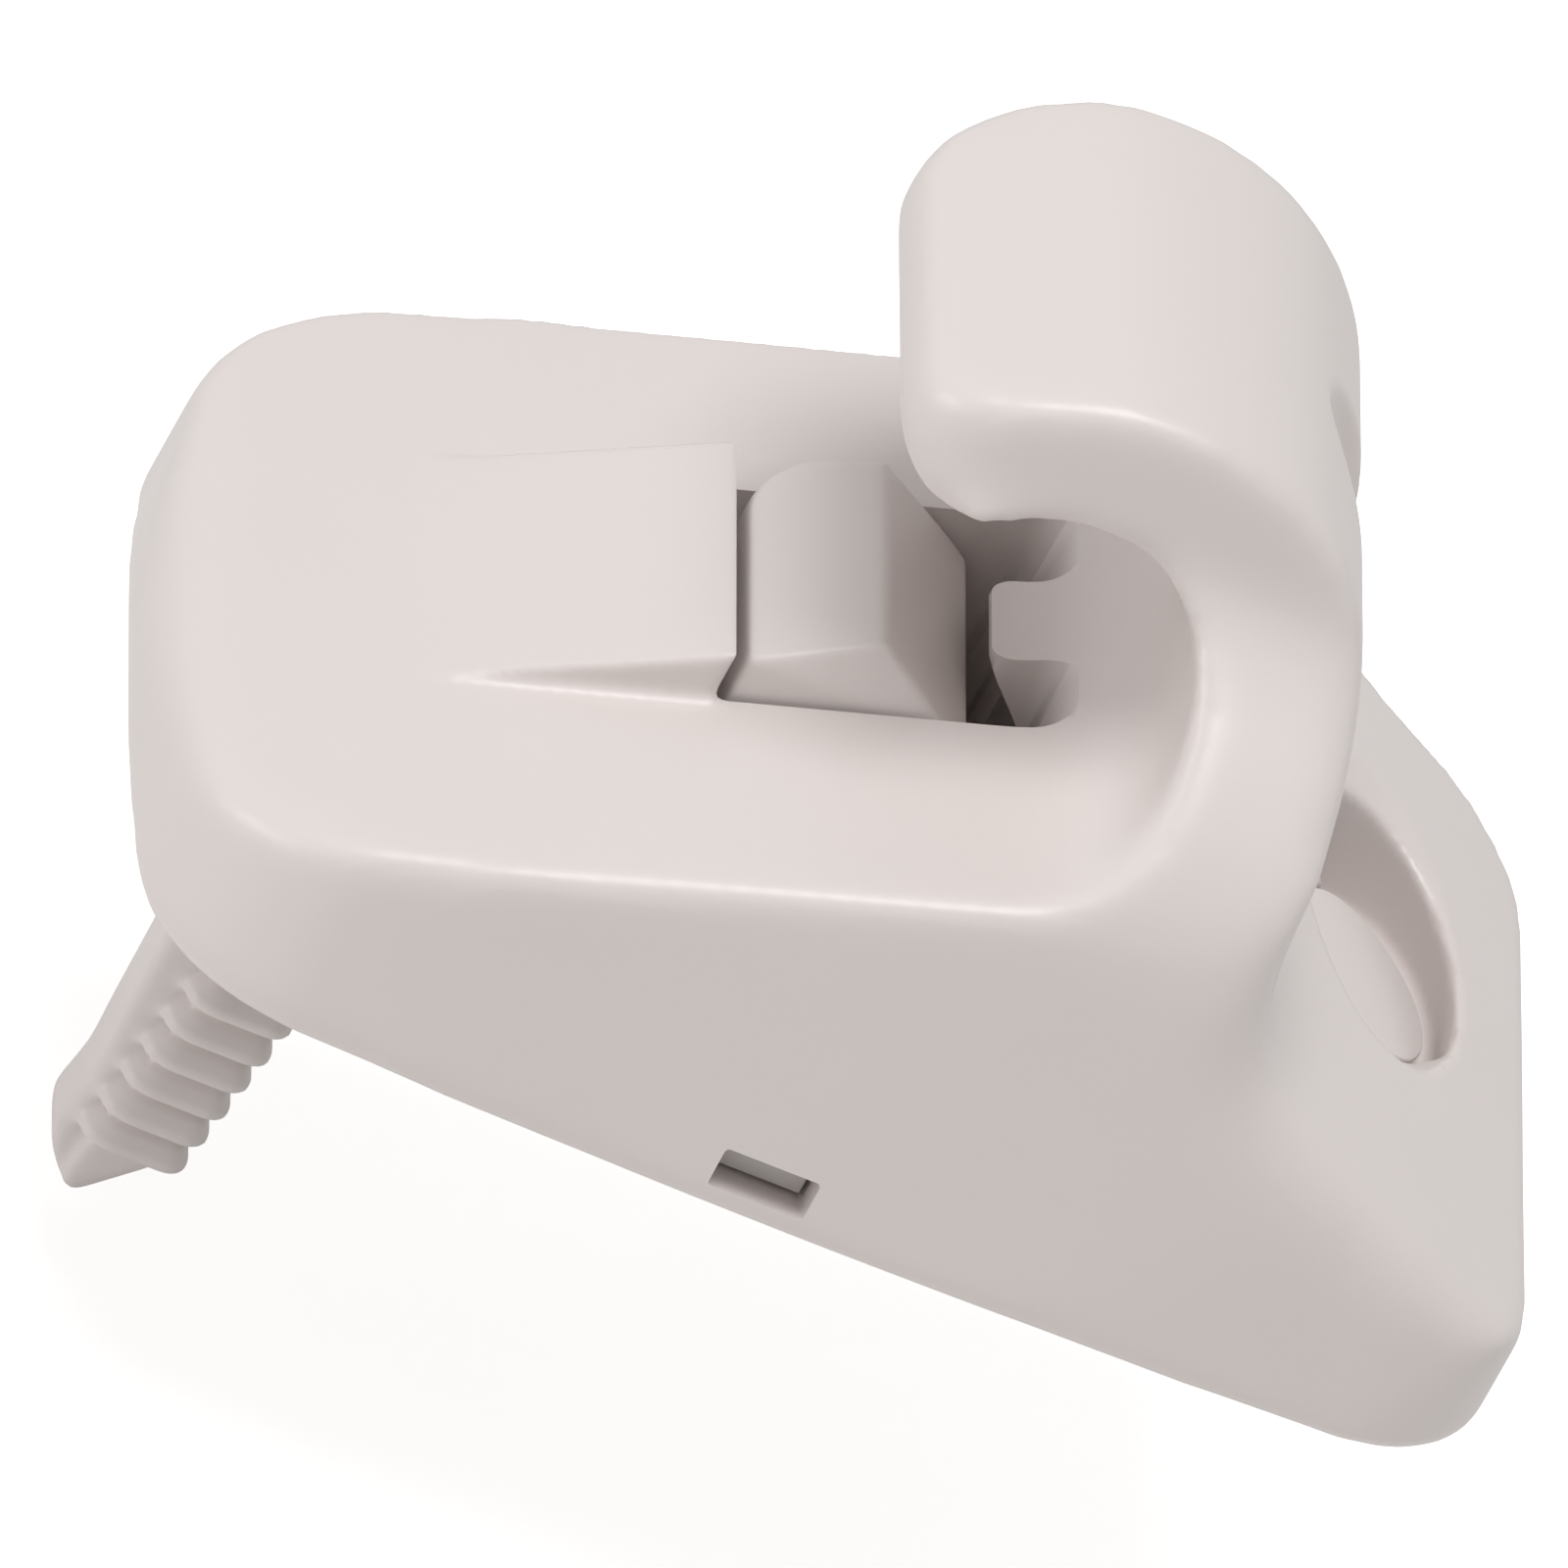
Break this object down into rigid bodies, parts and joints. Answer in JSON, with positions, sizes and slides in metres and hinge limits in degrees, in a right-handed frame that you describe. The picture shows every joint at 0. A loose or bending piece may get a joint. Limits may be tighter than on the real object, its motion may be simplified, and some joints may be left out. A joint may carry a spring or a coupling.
{
  "type": "stair gate latch",
  "caption": "J-shaped gate catch on a wall plate: a sprung wedge snaps up behind the gate's bar, and a ribbed handle under the left end draws it down.",
  "frame": {"origin": "centre of the mounting face, in the plane that goes against the post", "axes": "+Z out of the mounting face, towards the hook; +X along the base from the handle's end to the foot; +Y across the base, along the gate's bar"},
  "size_m": [0.1036, 0.0704, 0.0936],
  "materials": {
    "shell": "fine satin moulded ABS, warm light grey",
    "lever": "satin moulded acetal, warm light grey",
    "plate": "matt moulded polypropylene, grey",
    "steel": "bright zinc-plated steel"
  },
  "bodies": {
    "frame": {"housing": "shell", "wall_plate": "plate", "pivot_pin": "steel", "pin_strap_near": "plate", "pin_strap_far": "plate", "strap_screw_1": "steel", "strap_screw_2": "steel", "strap_screw_3": "steel", "strap_screw_4": "steel", "return_spring": "steel", "foot_screw": "steel", "foot_screw_cap": "shell"},
    "lever": {"latch_lever": "lever"}
  },
  "joints": [
    {"name": "latch_pivot", "type": "hinge", "parent": "frame", "child": "lever", "pos_m": [-0.0358, 0.0018, 0.008], "axis": [0, 1, 0], "range_deg": [0, 12], "stiffness_Nm_per_rad": 0.35, "springref_deg": -14.32, "deforming": ["return_spring"]}
  ]
}
